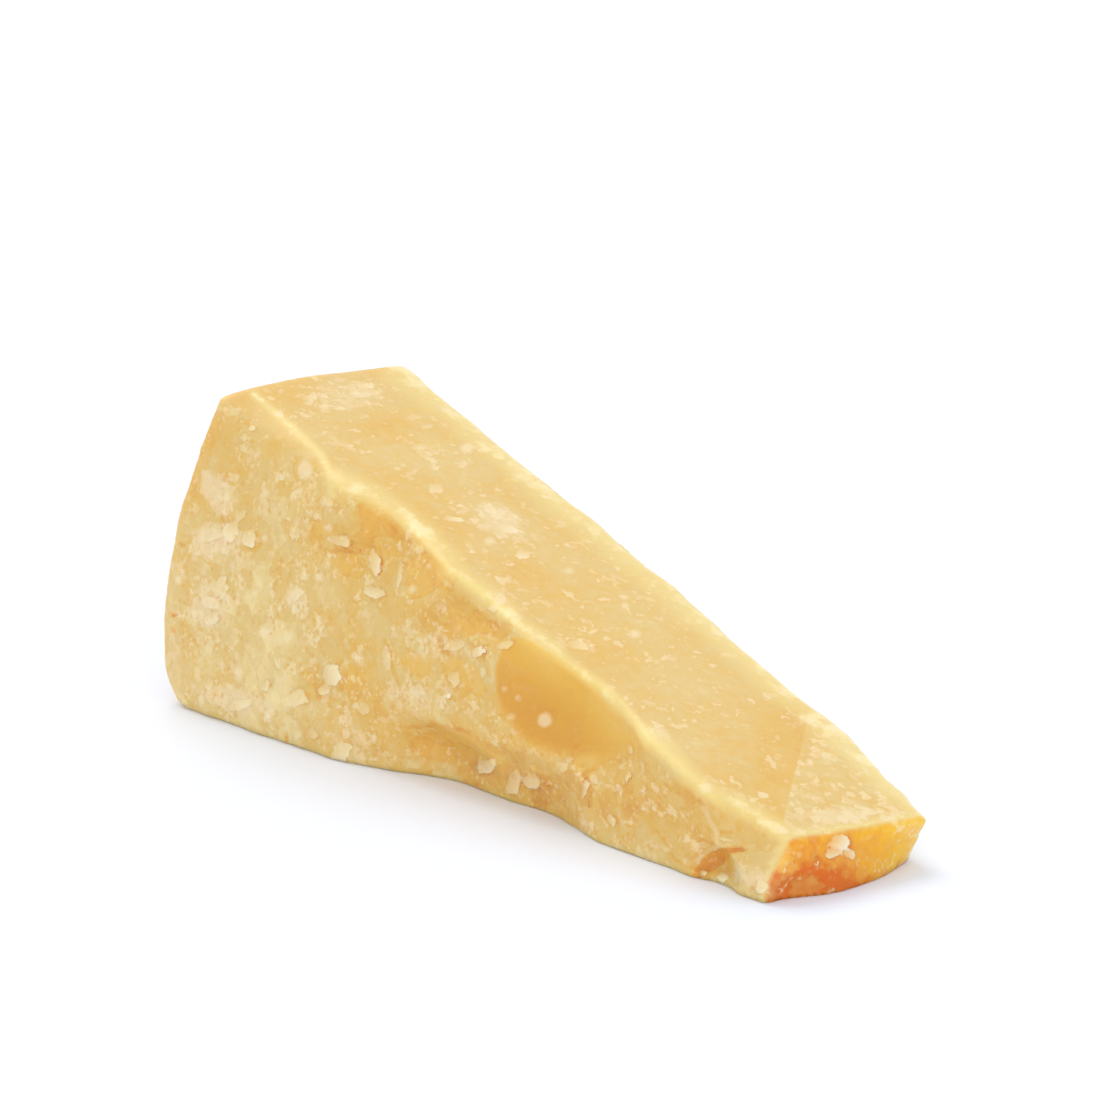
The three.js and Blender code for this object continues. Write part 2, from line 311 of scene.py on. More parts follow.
# Dark lines: cracks, and painted shadow lines along the rims of flakes and plates.
CRACKS_AND_SHADOW_LINES = {
    "crack over the notch": ((699, 800), (705, 811)),
    "crack beside it": ((719, 831), (730, 833)),
    "crack left of the notch": ((655, 830), (668, 842), (671, 856), (682, 864), (692, 868)),
    "edge under the plate by the step": ((336, 549), (350, 552), (362, 551)),
    "edge right of the upright flake": ((379, 549), (382, 560), (379, 574)),
    "edge below the step": ((391, 526), (398, 536), (410, 541)),
    "edge by the dark speck": ((482, 654), (487, 663), (489, 676)),
    "edge of the pale block": ((440, 638), (444, 652), (460, 657)),
    "edge low in the middle": ((384, 640), (392, 660), (396, 684), (404, 702)),
    "edge over the hollow": ((408, 727), (430, 725), (450, 728), (470, 733)),
    "edge by the sliver": ((584, 774), (592, 790), (590, 806)),
    "left rim of the large flake": ((318, 664), (314, 680), (318, 696), (330, 702)),
    "right rim of the large flake": ((341, 662), (344, 676), (341, 690), (334, 700)),
    "rim of the plate by the step": ((320, 546), (330, 552), (342, 550)),
    "rim of the left flakes": ((256, 532), (261, 542), (256, 550), (243, 549)),
    "first line in the notch": ((735, 848), (716, 856), (700, 868)),
    "second line in the notch": ((732, 854), (716, 864), (704, 876)),
}
# Painted highlights: thin pale lines along sharp broken edges at the notch.
EDGE_HIGHLIGHT_LINES = {
    "pale edge down to the notch": ((703, 808), (709, 820), (717, 832), (718, 843)),
    "pale rim of the notch": ((697, 860), (707, 851), (719, 846)),
    "pale edge right of the notch": ((757, 868), (764, 876), (767, 888)),
    "pale line right of the fleck": ((736, 866), (742, 876), (752, 884)),
}
# Outlines of larger gaps, sunk and painted the same way: strength and picture places.
SHADED_GAP_OUTLINES = {
    "notch by the point": (1.35, (
        (692, 876), (696, 866), (703, 858), (712, 852), (722, 848), (738, 846), (752, 849), (744, 852), (733, 853),
        (727, 858), (724, 864), (715, 869), (707, 873), (700, 879))),
    "claw under the crest": (1.0, (
        (514, 623), (506, 622), (496, 620), (488, 620), (484, 610), (476, 609), (466, 618), (456, 612), (447, 614),
        (442, 628), (442, 641), (456, 641), (470, 636), (482, 634), (492, 637), (500, 641), (509, 635))),
    "gold under the crest": (1.0, (
        (405, 562), (420, 549), (437, 552), (451, 564), (458, 580), (450, 592), (438, 588), (426, 597), (411, 600),
        (405, 584))),
    "gold under the upper crest": (1.0, (
        (357, 503), (371, 500), (383, 509), (396, 521), (409, 536), (399, 541), (384, 535), (370, 540), (360, 530))),
    "gold left of the upper crest": (0.8, (
        (310, 516), (322, 520), (330, 532), (322, 542), (312, 538))),
    "gold between the flakes": (0.7, (
        (398, 655), (414, 650), (430, 660), (436, 674), (420, 678), (404, 672))),
    "gold left of the shell": (0.7, (
        (440, 662), (458, 658), (476, 666), (488, 690), (480, 702), (462, 690), (446, 682))),
    "hollow above the foot": (0.8, (
        (410, 740), (438, 731), (470, 735), (492, 741), (508, 753), (499, 763), (480, 758), (455, 765), (430, 761),
        (412, 752))),
    "hollow low in the shell": (0.8, (
        (570, 754), (585, 747), (602, 750), (611, 759), (603, 769), (588, 773), (574, 768))),
    "gold right of the large flake": (0.8, (
        (345, 664), (362, 660), (368, 680), (366, 700), (350, 704), (344, 690))),
    "gold left of the upright flake": (0.8, (
        (342, 553), (362, 550), (368, 566), (362, 580), (346, 578), (338, 566))),
}
# Painted highlights: pale bands along the crests, the edges of the end and the far rim, where edges catch the light
# and light glows through the thin paste. Lines of picture places.
RIDGE_HIGHLIGHTS = {
    "ridge from the rind": ((254, 394), (272, 410), (295, 430), (322, 455), (330, 475), (331, 494)),
    "crest to the shoulder": ((336, 480), (360, 487), (400, 512), (430, 537), (455, 570), (480, 592), (512, 617)),
    "crest over the shell": ((512, 617), (535, 634), (560, 655), (584, 674), (602, 690), (622, 710), (645, 734)),
    "crest past the shell": ((645, 734), (662, 744), (690, 776), (706, 790)),
    "crest to the point": ((706, 790), (730, 802), (760, 818), (785, 834)),
    "edge of the end": ((787, 836), (781, 860), (769, 892)),
    "top of the end": ((786, 834), (822, 832), (870, 825), (918, 812)),
    "right side of the end": ((921, 822), (916, 846), (902, 866)),
    "far rim": (
        (398, 366), (480, 428), (560, 499), (640, 560), (720, 630), (800, 697), (860, 752), (922, 808), (921, 830)),
}
# Half widths of the painted highlight bands in pixels: full within the first, gone past the second.
RIDGE_HIGHLIGHT_HALF_WIDTHS = {
    "ridge from the rind": (0.0, 8.0),
    "crest to the shoulder": (1.0, 20.0),
    "crest over the shell": (0.0, 12.0),
    "crest past the shell": (2.0, 17.0),
    "crest to the point": (2.0, 17.0),
    "edge of the end": (2.0, 11.0),
    "top of the end": (0.0, 9.0),
    "right side of the end": (0.0, 8.0),
    "far rim": (3.0, 30.0),
}
SHELL = (
    (516, 636), (502, 650), (496, 668), (497, 690), (506, 716), (526, 738), (560, 750), (600, 752), (632, 752),
    (652, 744), (624, 712), (585, 674), (548, 646))
SHELL_TOP = ((512, 617), (645, 734))
PALE_PLACES = {
    "low on the left": (12, (225, 650, 190, 220, 10)),
    "between the notch and the end": (5, (750, 866, 62, 74, 0)),
}
# Edge of the last facet by the point: the top past it is painted lighter, as painted light on a face the mesh does not
# turn to the light, and just before it darker as painted shade.
LAST_FACET = ((806, 728), (780, 832))
# Painted light on the end by the point: its top line and height, the painted level of the notch, painted glow rising
# to the right between two places across, and painted shade low on it left of a place across.
END_TOP = ((785, 836), (918, 822))
END_HEIGHT = 52
NOTCH_GLOW = 0.5
END_GLOW = (846, 912)
END_SHADE_REACH = (884, 822)


def linear(hex_colour):
    """An sRGB colour written as 0xRRGGBB, as linear red, green, blue and alpha."""
    parts = [(hex_colour >> shift & 255) / 255 for shift in (16, 8, 0)]
    return tuple(p / 12.92 if p <= 0.04045 else ((p + 0.055) / 1.055) ** 2.4 for p in parts) + (1.0,)


def ease(low, high, values):
    """0 below low, 1 above high and a smooth step between them."""
    share = np.clip((values - low) / (high - low), 0, 1)
    return share * share * (3 - 2 * share)


class WedgeSettings(bpy.types.PropertyGroup):
    """Sizes and colours of the wedge."""

    grid: bpy.props.FloatProperty(
        name="Grid", description="Spacing of the paste's points", default=0.64 * MM, unit="LENGTH")
    crag_height: bpy.props.FloatProperty(
        name="Crag height", description="Height of the crags on the broken faces", default=0.6 * MM, unit="LENGTH")
    plate_height: bpy.props.FloatProperty(
        name="Plate height", description="Height of the small plates on the broken faces",
        default=0.35 * MM, unit="LENGTH")
    grain_height: bpy.props.FloatProperty(
        name="Grain height", description="Height of the fine grain", default=0.07 * MM, unit="LENGTH")
    flake_height: bpy.props.FloatProperty(
        name="Flake height", description="How far the flakes stand proud", default=0.36 * MM, unit="LENGTH")
    hollow_depth: bpy.props.FloatProperty(
        name="Hollow depth", description="How deep the gaps between flakes go", default=0.6 * MM, unit="LENGTH")
    # Pale end of the tone scale, which crests reach partly as painted highlight.
    cream: bpy.props.FloatVectorProperty(
        name="Cream", description="Paste on edges and crests", size=4, subtype="COLOR", default=linear(0xEED9A0))
    # Painted highlight: colour of the pale bands along the crests and rims.
    ridge_highlight: bpy.props.FloatVectorProperty(
        name="Butter", description="Rounded paste along the edges", size=4, subtype="COLOR",
        default=linear(0xEBD68E))
    # Painted highlight: the paler core of those bands along the sharpest edges.
    crest: bpy.props.FloatVectorProperty(
        name="Crest", description="Thin paste along the sharpest edges", size=4, subtype="COLOR",
        default=linear(0xFAECC0))
    straw: bpy.props.FloatVectorProperty(
        name="Straw", description="Paste on plain faces", size=4, subtype="COLOR", default=linear(0xDFC07C))
    # Tone stops that hollows are pushed towards, partly as painted shade: gold for shallow ones, amber for deep ones.
    gold: bpy.props.FloatVectorProperty(
        name="Gold", description="Paste in shallow hollows", size=4, subtype="COLOR", default=linear(0xE0B55E))
    # Painted glow: gold put in the shallow gaps between flakes, where light scattered in the paste comes out.
    gap_glow_gold: bpy.props.FloatVectorProperty(
        name="Nugget", description="Fresh paste that shows between flakes", size=4, subtype="COLOR",
        default=linear(0xEBBD5C))
    amber: bpy.props.FloatVectorProperty(
        name="Amber", description="Paste in deep hollows", size=4, subtype="COLOR", default=linear(0xDBA44C))
    # Darkest end of the tone scale, reached mostly through painted shade in deep gaps, dark lines and pits.
    deep: bpy.props.FloatVectorProperty(
        name="Deep", description="Paste in the notch and low on the end", size=4, subtype="COLOR",
        default=linear(0xD28A38))
    # Painted shade: darkest orange, low on the end and in the notch.
    end_shade: bpy.props.FloatVectorProperty(
        name="Ember", description="Low on the end and in the notch", size=4, subtype="COLOR",
        default=linear(0xDA6E10))
    # Middle of the end's painted light.
    orange: bpy.props.FloatVectorProperty(
        name="Orange", description="Middle of the end", size=4, subtype="COLOR", default=linear(0xE99F2E))
    honey: bpy.props.FloatVectorProperty(
        name="Honey", description="Where light shines through the end", size=4, subtype="COLOR",
        default=linear(0xF2BC2A))
    bloom: bpy.props.FloatVectorProperty(
        name="Bloom", description="Dry pale places between the flakes", size=4, subtype="COLOR",
        default=linear(0xECD4A8))
    chalk: bpy.props.FloatVectorProperty(
        name="Chalk", description="Crumbs and the brightest flakes", size=4, subtype="COLOR", default=linear(0xFDF0DA))
    ivory: bpy.props.FloatVectorProperty(
        name="Ivory", description="Crystal spots", size=4, subtype="COLOR", default=linear(0xF0DDB4))
    flake: bpy.props.FloatVectorProperty(
        name="Flake", description="Flakes", size=4, subtype="COLOR", default=linear(0xEFDAAE))
    old_rind: bpy.props.FloatVectorProperty(
        name="Old rind", description="Rubbed and darker places of the rind", size=4, subtype="COLOR",
        default=linear(0xB5803D))
    rind: bpy.props.FloatVectorProperty(
        name="Rind", description="Dry outside of the wheel", size=4, subtype="COLOR", default=linear(0xC9974F))


class StageSettings(bpy.types.PropertyGroup):
    """The floor and the light."""

    floor_side: bpy.props.FloatProperty(
        name="Floor side", description="Side of the square floor", default=12.0, unit="LENGTH")
    floor_colour: bpy.props.FloatVectorProperty(
        name="Floor", description="Colour of the floor", size=4, subtype="COLOR", default=linear(0xF0F4FE))
    sky_strength: bpy.props.FloatProperty(
        name="Sky", description="Strength of the light from all round", default=0.82)
    key_strength: bpy.props.FloatProperty(
        name="Key", description="Strength of the main light", default=1.22)
    fill_strength: bpy.props.FloatProperty(
        name="Fill", description="Strength of the low light from the camera's side", default=0.88)
    rim_strength: bpy.props.FloatProperty(
        name="Rim", description="Strength of the low light from behind", default=0.25)


def add_node(tree, kind, links=None, **settings):
    """Adds a shader node: settings are its own properties, links its inputs' values or sources."""
    node = tree.nodes.new(kind)
    for name, value in settings.items():
        setattr(node, name, value)
    for socket, value in (links or {}).items():
        if isinstance(value, bpy.types.NodeSocket):
            tree.links.new(value, node.inputs[socket])
        else:
            node.inputs[socket].default_value = value
    return node


def deselect_all():
    """Deselects every object."""
    bpy.ops.object.select_all(action="DESELECT")


def finish_with(piece, kind, **settings):
    """Adds a modifier to the piece and applies it."""
    deselect_all()
    piece.select_set(True)
    bpy.context.view_layer.objects.active = piece
    modifier = piece.modifiers.new(kind.title(), kind)
    for name, value in settings.items():
        setattr(modifier, name, value)
    bpy.ops.object.modifier_apply(modifier=modifier.name)


def points_of(mesh, name="co"):
    """The points' places, or their normals with the name "normal", a row a point."""
    values = np.empty(len(mesh.vertices) * 3, np.float32)
    mesh.vertices.foreach_get(name, values)
    return values.reshape(-1, 3).astype(float)


def camera_axes():
    """The camera's right, up and forward directions."""
    turn, dip = math.radians(CAMERA_TURN), math.radians(CAMERA_DIP)
    right = np.array((math.cos(turn), math.sin(turn), 0))
    forward = np.array((-math.sin(turn) * math.cos(dip), math.cos(turn) * math.cos(dip), -math.sin(dip)))
    return right, np.cross(right, forward), forward


def picture_places(points):
    """Where points in metres show in the picture, in pixels across and down."""
    right, up, forward = camera_axes()
    rays = points - np.array(CAMERA_PLACE)
    depth = rays @ forward
    across = PICTURE_SIDE / 2 + FOCAL_PIXELS * (rays @ right) / depth
    down = PICTURE_SIDE / 2 - FOCAL_PIXELS * (rays @ up) / depth
    return across, down


def in_mark(across, down, mark):
    """Picture places as seen from a mark: 1 is its half width one way and its half height the other."""
    middle_across, middle_down, wide, high = mark[:4]
    turn = math.radians(mark[4]) if len(mark) > 4 else 0.0
    along = (across - middle_across) * math.cos(turn) + (down - middle_down) * math.sin(turn)
    over = (down - middle_down) * math.cos(turn) - (across - middle_across) * math.sin(turn)
    return along / (wide / 2), over / (high / 2)


def inside_oval(across, down, mark):
    """How far inside an oval mark each picture place lies, in mm: 0 on its rim, less than 0 outside."""
    return (1 - np.hypot(*in_mark(across, down, mark))) * min(mark[2:4]) / 2 * PIXEL_ON_WEDGE


def inside_ragged(across, down, mark, dice):
    """The same for a mark broken out of the paste: three overlapping shapes with straight sides."""
    along, over = in_mark(across, down, mark)
    best = np.full(len(across), -9.0)
    for lobe in range(LOBES):
        spread = 0.45 if lobe else 0.0
        size = dice.uniform(0.55, 0.8) if lobe else 0.85
        centre = dice.uniform(-spread, spread), dice.uniform(-spread, spread)
        reach = np.zeros(len(across))
        for side in range(LOBE_SIDES):
            angle = (side + dice.uniform(-0.35, 0.35)) * math.tau / LOBE_SIDES
            out = (along - centre[0]) * math.cos(angle) + (over - centre[1]) * math.sin(angle)
            reach = np.maximum(reach, out / (size * dice.uniform(0.7, 1.1)))
        best = np.maximum(best, 1 - reach)
    return best * min(mark[2:4]) / 2 * PIXEL_ON_WEDGE


def mark_fields(across, down, marks, ragged):
    """For each place, how deep it is in the marks in mm, and how high that mark lifts there, 0 to 1."""
    inside = np.full(len(across), FAR_OUTSIDE)
    lift = np.zeros(len(across))
    for name, mark in marks.items():
        dice = random.Random(name)
        near = np.nonzero(np.hypot(across - mark[0], down - mark[1]) < max(mark[2:4]) + 14)[0]
        here = across[near], down[near]
        depth = inside_ragged(*here, mark, dice) if ragged else inside_oval(*here, mark)
        slope = math.radians(dice.uniform(-15, 105) - (mark[4] if len(mark) > 4 else 0))
        along, over = in_mark(*here, mark)
        strength = mark[5] if len(mark) > 5 else dice.uniform(0.5, 0.95)
        rise = strength * np.clip(0.65 + 0.45 * (along * math.cos(slope) + over * math.sin(slope)), 0.1, 1)
        nearer = depth > inside[near]
        inside[near[nearer]] = depth[nearer]
        lift[near[nearer]] = rise[nearer]
    return np.minimum(inside, -FAR_OUTSIDE), lift


def soft_marks(across, down, marks):
    """The strongest of the soft marks at each place: full near a mark's middle, and gone a little outside it."""
    strongest = np.zeros(len(across))
    for mark in marks.values():
        reach = np.hypot(*in_mark(across, down, mark))
        strongest = np.maximum(strongest, ease(1.35, 0.35, reach) * (mark[5] if len(mark) > 5 else 1.0))
    return strongest


def past_line(across, down, line):
    """How far each place lies to the right of a line between two places, in pixels."""
    (x0, y0), (x1, y1) = line
    return ((across - x0) * (y1 - y0) - (down - y0) * (x1 - x0)) / math.hypot(x1 - x0, y1 - y0)


def ridge_distance(across, down, line):
    """How far each picture place is from a line of places, in pixels."""
    nearest = np.full(len(across), 1e6)
    for (x0, y0), (x1, y1) in zip(line, line[1:]):
        span = (x1 - x0) ** 2 + (y1 - y0) ** 2
        share = np.clip(((across - x0) * (x1 - x0) + (down - y0) * (y1 - y0)) / span, 0, 1)
        nearest = np.minimum(nearest, np.hypot(across - x0 - share * (x1 - x0), down - y0 - share * (y1 - y0)))
    return nearest


def inside_outline(across, down, outline):
    """How far inside a closed outline each picture place lies, in pixels: less than 0 outside."""
    inside = np.zeros(len(across), bool)
    closed = outline + outline[:1]
    for (x0, y0), (x1, y1) in zip(closed, closed[1:]):
        if y0 != y1:
            inside ^= ((y0 > down) != (y1 > down)) & (across < x0 + (down - y0) * (x1 - x0) / (y1 - y0))
    gap = ridge_distance(across, down, closed)
    return np.where(inside, gap, -gap)


def edge_list(mesh):
    """The two points of each edge."""
    ends = np.empty(len(mesh.edges) * 2, np.int32)
    mesh.edges.foreach_get("vertices", ends)
    return ends.reshape(-1, 2)


def smoothed(points, ends, rounds):
    """The points after each has moved towards the mean of its neighbours a number of times."""
    count = len(points)
    neighbours = np.bincount(ends.ravel(), minlength=count)
    for _ in range(rounds):
        total = np.empty_like(points)
        for axis in range(points.shape[1]):
            values = points[:, axis]
            total[:, axis] = np.bincount(ends[:, 0], values[ends[:, 1]], count)
            total[:, axis] += np.bincount(ends[:, 1], values[ends[:, 0]], count)
        points = (points + total / neighbours[:, None]) / 2
    return points


def standing_out(mesh, rounds):
    """How far each point stands out from the smoothed surface, in mm: less than 0 in a hollow."""
    points, normals = points_of(mesh), points_of(mesh, "normal")
    level = smoothed(points, edge_list(mesh), rounds)
    return ((points - level) * normals).sum(1) / MM


def soft_normals(mesh, rounds):
    """The points' normals after smoothing."""
    normals = smoothed(points_of(mesh, "normal"), edge_list(mesh), rounds)
    return normals / np.linalg.norm(normals, axis=1, keepdims=True)


def paint(mesh, name, values):
    """Stores one number a point on the mesh, for the material."""
    layer = mesh.attributes.new(name, "FLOAT", "POINT")
    layer.data.foreach_set("value", values.astype(np.float32))


def weigh(piece, name, weights):
    """Makes a vertex group, which limits a modifier to part of the piece."""
    group = piece.vertex_groups.new(name=name)
    steps = np.round(np.clip(weights, 0, 1) * 20) / 20
    for step in np.unique(steps):
        if step > 0:
            group.add(np.nonzero(steps == step)[0].tolist(), float(step), "REPLACE")
    return group.name


def regions(mesh):
    """Shares of the faces of the wedge at each point, from the smoothed normals."""
    normals = soft_normals(mesh, REGION_ROUNDS)
    points = points_of(mesh)
    along = (points[:, 0] - BOX_LOW.x) / LENGTH
    top = ease(0.62, 0.8, normals[:, 2])
    under = ease(0.6, 0.8, -normals[:, 2])
    rind = ease(0.6, 0.8, -normals[:, 0]) * ease(0.12, 0.06, along)
    end = ease(0.5, 0.75, normals[:, 0]) * ease(0.85, 0.92, along)
    side = np.clip(1 - top - under - rind - end, 0, 1)
    front = side * (normals[:, 1] < 0)
    return {"top": top, "under": under, "rind": rind, "end": end, "front": front, "back": side - front}


def seen(mesh):
    """1 where a point faces the camera, 0 where it faces away."""
    rays = np.array(CAMERA_PLACE) - points_of(mesh)
    rays /= np.linalg.norm(rays, axis=1, keepdims=True)
    return ease(0.02, 0.12, (rays * soft_normals(mesh, SEEN_ROUNDS)).sum(1))


def relief_texture(name, kind, size, **settings):
    """A pattern of a size in metres, for a modifier."""
    texture = bpy.data.textures.new(name, kind)
    texture.noise_scale = size
    for key, value in settings.items():
        setattr(texture, key, value)
    return texture


class MakePaste(bpy.types.Operator):
    """Makes the paste of the wedge, with its crags, plates and flakes, from a copy of the solid"""

    bl_idname = "cheese.make_paste"
    bl_label = "Make the paste"

    def execute(self, context):
        sizes = context.scene.wedge_settings
        deselect_all()
        solid = frame["nodes"][SOLID]
        solid.select_set(True)
        context.view_layer.objects.active = solid
        bpy.ops.object.duplicate()
        paste = context.active_object
        paste.name = paste.data.name = "cheese_paste"
        del paste["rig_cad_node"]
        paste.data.materials.clear()

        bpy.ops.object.mode_set(mode="EDIT")
        bpy.ops.mesh.select_all(action="SELECT")
        bpy.ops.mesh.remove_doubles(threshold=0.01 * MM)
        bpy.ops.mesh.tris_convert_to_quads(face_threshold=math.pi, shape_threshold=math.pi)
        bpy.ops.object.mode_set(mode="OBJECT")
        finish_with(paste, "SUBSURF", levels=2, render_levels=2)
        bpy.ops.object.duplicate()
        guide = context.active_object
        finish_with(paste, "REMESH", mode="VOXEL", voxel_size=sizes.grid)
        finish_with(paste, "SMOOTH", factor=0.5, iterations=4)
        finish_with(paste, "SHRINKWRAP", target=guide)
        bpy.data.meshes.remove(guide.data)

        mesh = paste.data
        shares = regions(mesh)
        across, down = picture_places(points_of(mesh))
        shown = seen(mesh)
        shell_rim = 2.4 + 8 * ease(690, 745, down) + 3 * ease(600, 640, across)
        shell = shown * shares["front"] * ease(-1, 1, inside_outline(across, down, SHELL) / shell_rim)
        # Painted highlight along the listed crests and rims, weaker on the end.
        ridge = np.zeros(len(across))
        for name, line in RIDGE_HIGHLIGHTS.items():
            low, high = RIDGE_HIGHLIGHT_HALF_WIDTHS[name]
            ridge = np.maximum(ridge, ease(high, low, ridge_distance(across, down, line)))
        ridge *= shown * (1 - 0.6 * shares["end"])
        flake, lift = mark_fields(across, down, FLAKES, ragged=True)
        spot, _ = mark_fields(across, down, SPOTS, ragged=False)
        gap, gap_strength = mark_fields(across, down, SHADED_GAPS, ragged=True)
        crack, edge_highlight_line = (
            np.minimum(PIXEL_ON_WEDGE * np.min([
                ridge_distance(across, down, line) for line in lines.values()], axis=0), LINE_REACH)
            for lines in (CRACKS_AND_SHADOW_LINES, EDGE_HIGHLIGHT_LINES))
        for strength, outline in SHADED_GAP_OUTLINES.values():
            depth = inside_outline(across, down, outline) * PIXEL_ON_WEDGE
            deeper = depth > gap
            gap[deeper], gap_strength[deeper] = depth[deeper], strength
        flake, spot, gap = (shown * values + (1 - shown) * FAR_OUTSIDE for values in (flake, spot, gap))
        # Painted shade and glow in the hollows, partly the paste's deeper tone.
        warm_and_shaded = shown * soft_marks(across, down, GOLD_AND_SHADE_PLACES)
        haze = shown * soft_marks(across, down, HAZES) * (1 - 0.8 * np.clip(warm_and_shaded, 0, 1))
        past_facet = np.clip(past_line(across, down, LAST_FACET) * PIXEL_ON_WEDGE, *FACET_REACH)
        rough = (shares["front"] + shares["back"] + 0.8 * shares["end"]) * (1 - 0.95 * shell) * (1 - 0.8 * ridge)
        sunk = np.maximum(0.25 * warm_and_shaded ** 2, 0.6 * ease(-0.2, 0.3, gap) * np.minimum(gap_strength, 1))
        sunk *= 1 - shares["top"]
        proud = np.maximum(ease(-0.15, 0.2, flake) * np.minimum(lift, 1), 0.3 * ease(-0.2, 0.3, spot))
        foot = ease(0.0, FOOT_HEIGHT, points_of(mesh)[:, 2] / MM)
        from_rind = (points_of(mesh)[:, 0] - BOX_LOW.x) / MM
        rough *= 0.25 + 0.75 * ease(2, 14, from_rind)
        groups = {
            "rough": weigh(paste, "rough", rough * foot),
            "cut": weigh(paste, "cut", shares["top"]),
            "proud": weigh(paste, "proud", proud * foot * (1 - 0.9 * shares["top"])),
            "sunk": weigh(paste, "sunk", sunk * foot),
            "all": weigh(paste, "all", foot * (1 - 0.7 * shell) * (1 - 0.8 * shares["top"])),
        }
        reliefs = (
            ("rough", sizes.crag_height, relief_texture("crags", "CLOUDS", CRAG_SIZE * MM, noise_depth=3)),
            ("rough", sizes.plate_height, relief_texture(
                "plates", "VORONOI", PLATE_SIZE * MM, color_mode="POSITION")),
            ("cut", WAVE_HEIGHT * MM, relief_texture("cut waves", "CLOUDS", WAVE_SIZE * MM, noise_depth=1)),
            ("all", sizes.grain_height, relief_texture("grain", "CLOUDS", GRAIN_SIZE * MM, noise_depth=2)),
        )
        for group, height, texture in reliefs:
            finish_with(
                paste, "DISPLACE", texture=texture, strength=height, mid_level=0.5,
                vertex_group=groups[group], texture_coords="LOCAL")
        finish_with(paste, "DISPLACE", strength=-sizes.hollow_depth, mid_level=0.0, vertex_group=groups["sunk"])
        finish_with(paste, "DISPLACE", strength=sizes.flake_height, mid_level=0.0, vertex_group=groups["proud"])
        paste.vertex_groups.clear()
        points = points_of(mesh)
        points[:, 2] = np.maximum(points[:, 2], 0) * ease(0.1, 1.1, points[:, 2] / MM)
        mesh.vertices.foreach_set("co", points.astype(np.float32).ravel())
        mesh.update()
        deselect_all()
        paste.select_set(True)
        bpy.ops.object.shade_smooth()

        # Painted light on the end: glow rising to the right where light shines through, painted shade low on its left
        # and along the floor, and the notch's painted level elsewhere.
        low_on_end = past_line(across, down, END_TOP) / -END_HEIGHT
        end_shade = ease(0.4, 0.9, low_on_end) * ease(*END_SHADE_REACH, across)
        glow = 0.58 + 0.36 * ease(*END_GLOW, across) - 0.68 * end_shade
        glow = shown * (glow - 0.35 * ease(2.0, 0.5, points[:, 2] / MM))
        glow[shares["end"] < 0.1] = NOTCH_GLOW
        coarse = standing_out(mesh, COARSE_ROUNDS)
        pale = np.max([
            ease(-soft, soft, inside_oval(across, down, place)) for soft, place in PALE_PLACES.values()], axis=0)
        near_rind = smoothed(shares["rind"][:, None], edge_list(mesh), RIND_ROUNDS)[:, 0]
        fields = {
            # Painted light from the shape: crests and proud grain are painted paler as highlight, dips and fine
            # hollows darker and warmer as shade.
            "crest": ease(0.4, 1.6, coarse),
            "dip": ease(0.1, 0.9, -coarse),
            "grain": np.clip(standing_out(mesh, FINE_ROUNDS) / 0.12, -1, 1),
            "rough": rough,
            "cut": shares["top"] + shares["under"],
            "rind": shares["rind"],
            "near_rind": ease(0.02, 0.5, near_rind),
            "end": shares["end"],
            "glow": glow,
            "shell": shell,
            "shell_depth": ease(6, 60, -past_line(across, down, SHELL_TOP)),
            "ridge": ridge,
            "flake": flake,
            "lift": lift,
            # Painted shade: warmer and darker along the bottom where the paste meets the floor.
            "foot": ease(FOOT_HEIGHT, 0.3, points[:, 2] / MM) * (1 - shares["under"]),
            "gap": gap,
            "crack": np.where(shown > 0.5, crack, LINE_REACH),
            "edge_highlight_line": np.where(shown > 0.5, edge_highlight_line, LINE_REACH),
            "gap_strength": gap_strength,
            "warm_and_shaded": warm_and_shaded,
            "past_facet": past_facet,
            "spot": spot,
            "haze": haze,
            "milky": shares["front"] * pale,
        }
        for name, values in fields.items():
            paint(mesh, name, values)
        mesh.materials.append(paste_material(sizes, fields))
        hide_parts(SOLID)
        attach(paste, "root")
        return {"FINISHED"}


